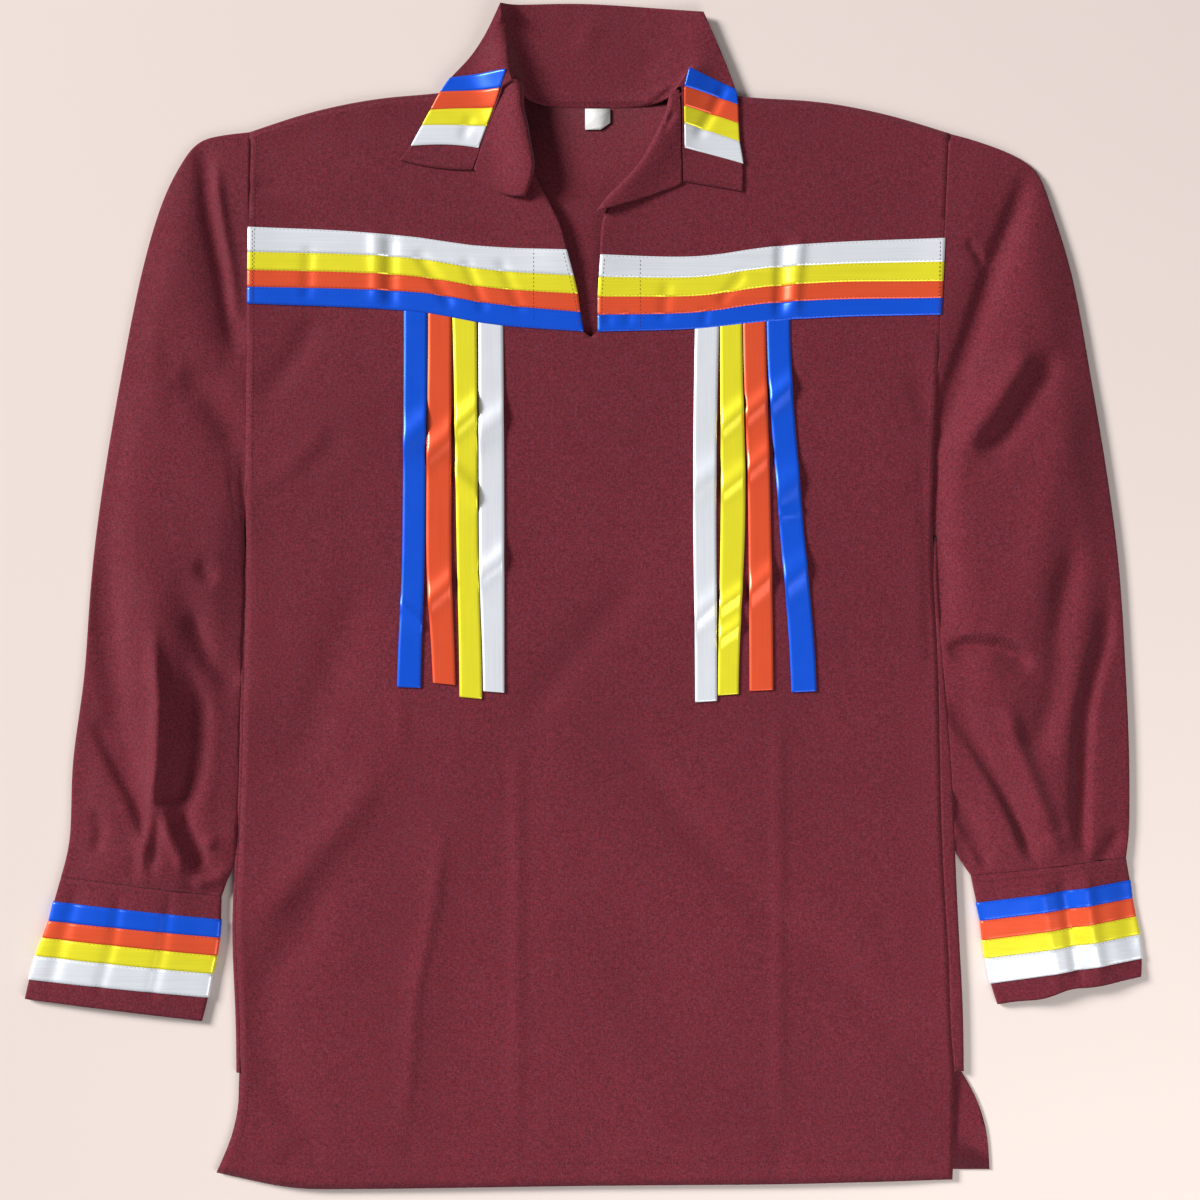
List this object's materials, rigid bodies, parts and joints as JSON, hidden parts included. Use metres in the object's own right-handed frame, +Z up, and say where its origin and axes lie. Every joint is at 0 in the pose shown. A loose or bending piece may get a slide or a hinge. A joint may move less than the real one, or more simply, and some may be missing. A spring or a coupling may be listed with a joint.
{
  "type": "ribbon shirt",
  "caption": "Pullover shirt laid flat: open neck with a spread collar, long sleeves with cuffs, slits at the sides, and satin ribbons on the collar, chest, front and cuffs.",
  "frame": {"origin": "on the table, under the middle of the chest: the centre of the base of the object's box", "axes": "+X toward the wearer's left, +Y from hem to collar, +Z up from the table"},
  "size_m": [0.8053, 0.8525, 0.0204],
  "materials": {
    "maroon_cloth": "matt speckled weave",
    "satin_blue": "satin ribbon",
    "satin_red": "satin ribbon",
    "satin_yellow": "satin ribbon",
    "satin_white": "satin ribbon",
    "label_cloth": "woven tape, blank"
  },
  "bodies": {
    "root": {"back": "maroon_cloth", "front": "maroon_cloth", "sleeve_right": "maroon_cloth", "cuff_right": "maroon_cloth", "facing_right": "maroon_cloth", "sleeve_left": "maroon_cloth", "cuff_left": "maroon_cloth", "facing_left": "maroon_cloth", "collar": "maroon_cloth", "chest_ribbon_right_blue": "satin_blue", "chest_ribbon_right_red": "satin_red", "chest_ribbon_right_yellow": "satin_yellow", "chest_ribbon_right_white": "satin_white", "chest_ribbon_left_blue": "satin_blue", "chest_ribbon_left_red": "satin_red", "chest_ribbon_left_yellow": "satin_yellow", "chest_ribbon_left_white": "satin_white", "hanging_ribbon_right_blue": "satin_blue", "hanging_ribbon_right_red": "satin_red", "hanging_ribbon_right_yellow": "satin_yellow", "hanging_ribbon_right_white": "satin_white", "hanging_ribbon_left_blue": "satin_blue", "hanging_ribbon_left_red": "satin_red", "hanging_ribbon_left_yellow": "satin_yellow", "hanging_ribbon_left_white": "satin_white", "cuff_ribbon_right_blue": "satin_blue", "cuff_ribbon_right_red": "satin_red", "cuff_ribbon_right_yellow": "satin_yellow", "cuff_ribbon_right_white": "satin_white", "cuff_ribbon_left_blue": "satin_blue", "cuff_ribbon_left_red": "satin_red", "cuff_ribbon_left_yellow": "satin_yellow", "cuff_ribbon_left_white": "satin_white", "collar_ribbon_right_blue": "satin_blue", "collar_ribbon_right_red": "satin_red", "collar_ribbon_right_yellow": "satin_yellow", "collar_ribbon_right_white": "satin_white", "collar_ribbon_left_blue": "satin_blue", "collar_ribbon_left_red": "satin_red", "collar_ribbon_left_yellow": "satin_yellow", "collar_ribbon_left_white": "satin_white", "label": "label_cloth"}
  },
  "joints": []
}
